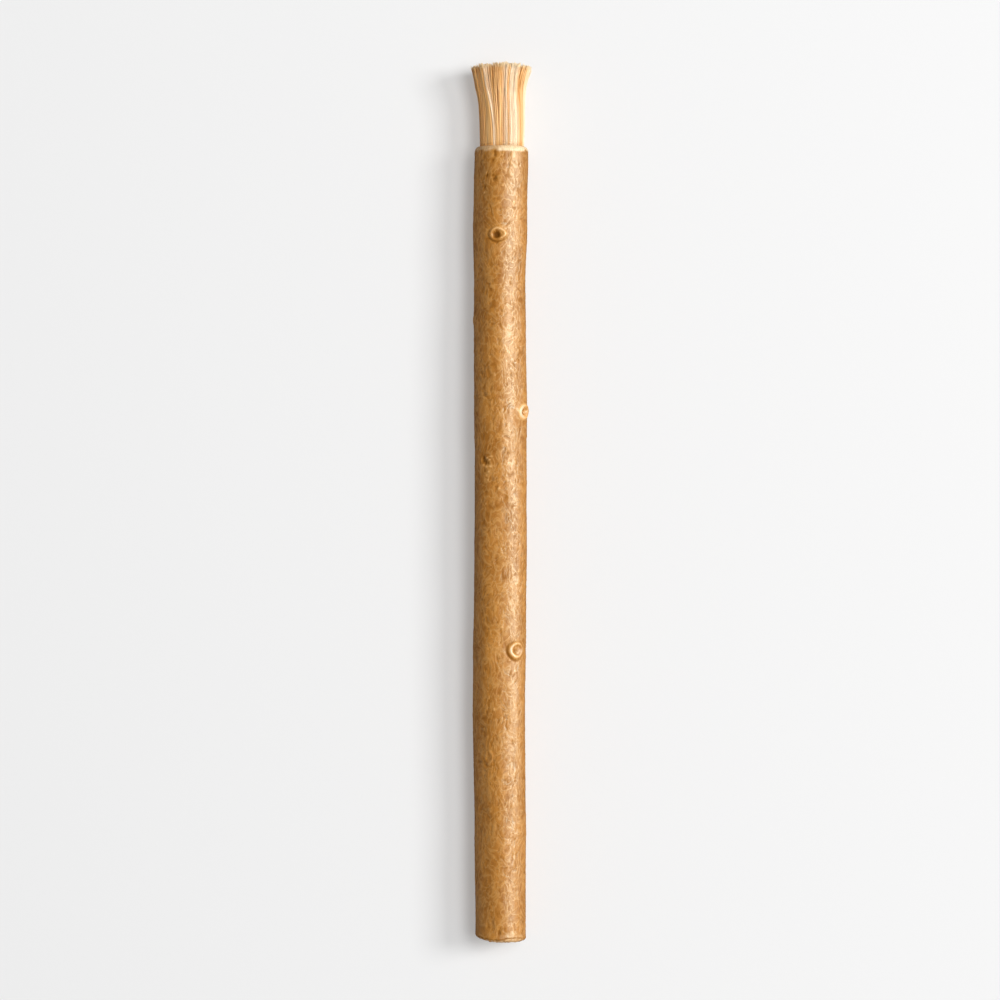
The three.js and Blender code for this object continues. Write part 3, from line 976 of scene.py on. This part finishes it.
def bark_material():
    """The bark's colours as layers, each over the ones before by its share, and its uneven shine. Creases,
    folds, pits, grooves and the butt's rim get painted shade, and ridges a painted highlight.
    """
    nodes = Nodes("bark")
    relief = nodes.attribute("relief")
    pit = nodes.attribute("pit")
    ring = nodes.attribute("ring")
    clouds = nodes.noise(nodes.scaled(4, 9, 4), detail=4)
    mottles = nodes.noise(nodes.scaled(1.5, 2.6, 1.5), detail=2)
    streaks = nodes.noise(nodes.scaled(0.6, 7, 0.6), detail=2, distortion=0.3)
    folds = nodes.lines(nodes.flow(0.42), 0.05, 0)
    winding = nodes.lines(nodes.flow(0.9), 0.11, 0.01)
    # High ridges of the relief join the bark's own pale winding threads and are painted paler: painted
    # highlight.
    threads_and_ridge_highlight = nodes.math("MAXIMUM", winding, nodes.reach(relief, 0.1, 0.9, 0, 0.7))
    flakes = nodes.noise(nodes.flow(0.2), detail=2)
    layers = [
        (nodes.reach(clouds, 0.4, 0.7, 0, 0.7), BARK_BROWN),
        (nodes.reach(streaks, 0.5, 0.75, 0, 0.4), BARK_BROWN),
        (nodes.reach(mottles, 0.5, 0.66, 0, 0.65), BARK_BROWN),
        (nodes.math("MULTIPLY", threads_and_ridge_highlight, 0.48), THREAD_AND_HIGHLIGHT_PALE),
        # Creases of the relief and the fold lines are painted darker: painted shade. The flakes take the same
        # brown as their own dark flecks.
        (nodes.reach(relief, -0.1, -0.8, 0, 0.65), CREASE_SHADE_AND_FLECK_BROWN),
        (nodes.math("MULTIPLY", folds, 0.4), CREASE_SHADE_AND_FLECK_BROWN),
        (nodes.reach(flakes, 0.6, 0.72, 0, 0.2), CREASE_SHADE_AND_FLECK_BROWN),
        (nodes.reach(ring, 0.2, 0.6, 0, 0.8), RING_GOLD),
        (nodes.reach(ring, 0.6, 0.95, 0, 0.8), RING_PALE),
        # Pits, grooves and the butt's rim line take this brown: painted shade, over the pits' own dark
        # colour.
        (nodes.reach(pit, 0.15, 0.95, 0, 0.95), PIT_AND_SHADE_BROWN),
        # Bare wood, with painted shade on the collar's shady side and a painted highlight at the butt.
        (nodes.attribute("bare"), wood_colour(nodes)),
    ]
    colour = BARK_GOLD
    for share, layer in layers:
        colour = nodes.mix(share, colour, layer)
    smooth_shine = nodes.reach(relief, -0.6, 0, 0.3, 0.6)
    shine = nodes.math("MAXIMUM", smooth_shine, nodes.math("MULTIPLY", threads_and_ridge_highlight, 0.86))
    shine = nodes.math("MULTIPLY", shine, nodes.reach(pit, 0, 0.6, 1, 0.1))
    nodes.put(nodes.shader.inputs["Specular IOR Level"], shine)
    normal = nodes.bump(folds, -0.01)
    normal = nodes.bump(threads_and_ridge_highlight, 0.01, normal)
    normal = nodes.bump(flakes, 0.01, normal)
    roughness = nodes.reach(shine, 0, 1, 0.58, 0.5)
    return nodes.finish(colour, roughness, normal, IOR=1.6, Specular_Tint=(0.96, 1, 0.82, 1))


def wood_colour(nodes):
    """Bare wood: pores and mottles on the sawn end, and long streaks elsewhere."""
    pores = nodes.reach(nodes.cells(nodes.scaled(0.42, 0.42, 0.42)), 0.18, 0.34, 1, 0)
    mottled = nodes.mix(nodes.noise(nodes.scaled(1, 1, 1), detail=4), WOOD_PALE, WOOD_TAN)
    sawn = nodes.mix(nodes.math("MULTIPLY", pores, 0.65), mottled, PORE_BROWN)
    streaks = nodes.noise(nodes.scaled(0.2, 3, 0.2))
    pared = nodes.mix(nodes.reach(streaks, 0.4, 0.75), WOOD_PALE, WOOD_TAN)
    return nodes.mix(nodes.attribute("end_grain"), pared, sawn)


def fibre_material():
    """Fibres from pale to golden, painted a deeper gold as shade inside the brush, and pale at their tips."""
    nodes = Nodes("fibre")
    along = nodes.attribute("along")
    streaks = nodes.noise(nodes.scaled(0.12, 5, 0.12))
    below_tip = nodes.reach(along, 0.9, 0.97, 1, 0.2)
    # Fibres deeper inside the brush are painted a deeper gold below their tips: painted shade between the
    # fibres.
    inner = nodes.math("MULTIPLY", nodes.reach(nodes.attribute("inner"), 0.07, 0.3), below_tip)
    colour = nodes.mix(nodes.reach(nodes.attribute("tone"), 0.3, 0.65), FIBRE_PALE, FIBRE_GOLD)
    colour = nodes.mix(nodes.reach(streaks, 0.45, 0.8, 0, 0.3), colour, FIBRE_GOLD)
    colour = nodes.mix(inner, colour, FIBRE_SHADE_GOLD)
    colour = nodes.mix(nodes.reach(along, 0.93, 0.97, 0, 0.7), colour, FIBRE_TIP)
    normal = nodes.bump(nodes.noise(nodes.scaled(0.07, 2, 0.07)), 0.01)
    return nodes.finish(colour, roughness=0.5, normal=normal, Specular_IOR_Level=0.45)


def floor_material():
    nodes = Nodes("pale_floor")
    normal = nodes.bump(nodes.noise(nodes.scaled(3, 3, 3), detail=2), 0.01)
    nodes.shader.inputs["Emission Color"].default_value = (*WHITE, 1)
    return nodes.finish(
        (*FLOOR_GREY, 1),
        roughness=0.9,
        normal=normal,
        Specular_IOR_Level=0.1,
        Emission_Strength=FLOOR_GLOW,
    )


def make_floor():
    mesh = bpy.data.meshes.new("floor")
    half = FLOOR_HALF
    corners = [(-half, -half, 0), (half, -half, 0), (half, half, 0), (-half, half, 0)]
    mesh.from_pydata(corners, [], [(0, 1, 2, 3)])
    mesh.materials.append(floor_material())
    floor = bpy.data.objects.new("floor", mesh)
    floor.location.z = -FLOOR_DROP * MM
    floor.visible_glossy = False
    bpy.context.scene.collection.objects.link(floor)


def area_light(name, direction, width, length, power, glossy=True, diffuse=True):
    """A soft light that shines on the origin from a direction. Its length runs along the stick."""
    data = bpy.data.lights.new(name, "AREA")
    data.shape = "RECTANGLE"
    data.size = width
    data.size_y = length
    data.energy = power
    light = bpy.data.objects.new(name, data)
    back = Vector(direction).normalized()
    light.location = back * LIGHT_DISTANCE
    light.rotation_euler = back.to_track_quat("Z", "Y").to_euler()
    light.visible_glossy = glossy
    light.visible_diffuse = diffuse
    bpy.context.scene.collection.objects.link(light)


def make_lights():
    """A bright light from the right, a wide one from above, and a narrow one for the bark's sheen alone."""
    area_light("key", direction=(0.73, 0.16, 0.66), width=0.45, length=0.5, power=15.1)
    area_light("top", direction=(0.34, 0.12, 0.93), width=0.9, length=0.5, power=12.1, glossy=False)
    area_light("sheen", direction=(0.86, 0.1, 0.5), width=0.2, length=0.5, power=27, diffuse=False)


def make_world():
    """Even light from all round, and a paler surround where the camera sees past the floor."""
    world = bpy.data.worlds.new("world")
    world.use_nodes = True
    tree = world.node_tree
    background = tree.nodes["Background"]
    ray = tree.nodes.new("ShaderNodeLightPath")
    reach = tree.nodes.new("ShaderNodeMapRange")
    reach.inputs["To Min"].default_value = WORLD_STRENGTH
    reach.inputs["To Max"].default_value = SURROUND_STRENGTH
    tree.links.new(ray.outputs["Is Camera Ray"], reach.inputs["Value"])
    tree.links.new(reach.outputs["Result"], background.inputs["Strength"])
    background.inputs["Color"].default_value = (*WHITE, 1)
    bpy.context.scene.world = world
    world.cycles_visibility.glossy = False


def make_camera():
    """A camera straight above the stick, as the photograph looks straight at its front."""
    data = bpy.data.cameras.new("camera")
    data.lens = LENS
    data.sensor_width = SENSOR_WIDTH
    data.clip_start = CLIP_START
    camera = bpy.data.objects.new("camera", data)
    middle = (stick_low[1] + stick_high[1]) / 2
    height = SEEN_WIDTH * LENS / SENSOR_WIDTH + stick_high[2] / 2
    camera.location = Vector((0, middle, height)) * MM
    bpy.context.scene.collection.objects.link(camera)
    bpy.context.scene.camera = camera


bark = make_bark(bark_material())
fibre = fibre_material()
fibres = make_fibres("brush_fibres", fibre, np.random.default_rng(THICK_SEED), THICK_FIBRES)
hairs = make_fibres("brush_hairs", fibre, np.random.default_rng(THIN_SEED), THIN_FIBRES)
for piece, slot in ((bark, "bark"), (fibres, "fibre"), (hairs, "fibre")):
    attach(piece, "root")
    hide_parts(STICK)

make_floor()
make_lights()
make_world()
make_camera()
bpy.context.scene.view_settings.view_transform = "Standard"
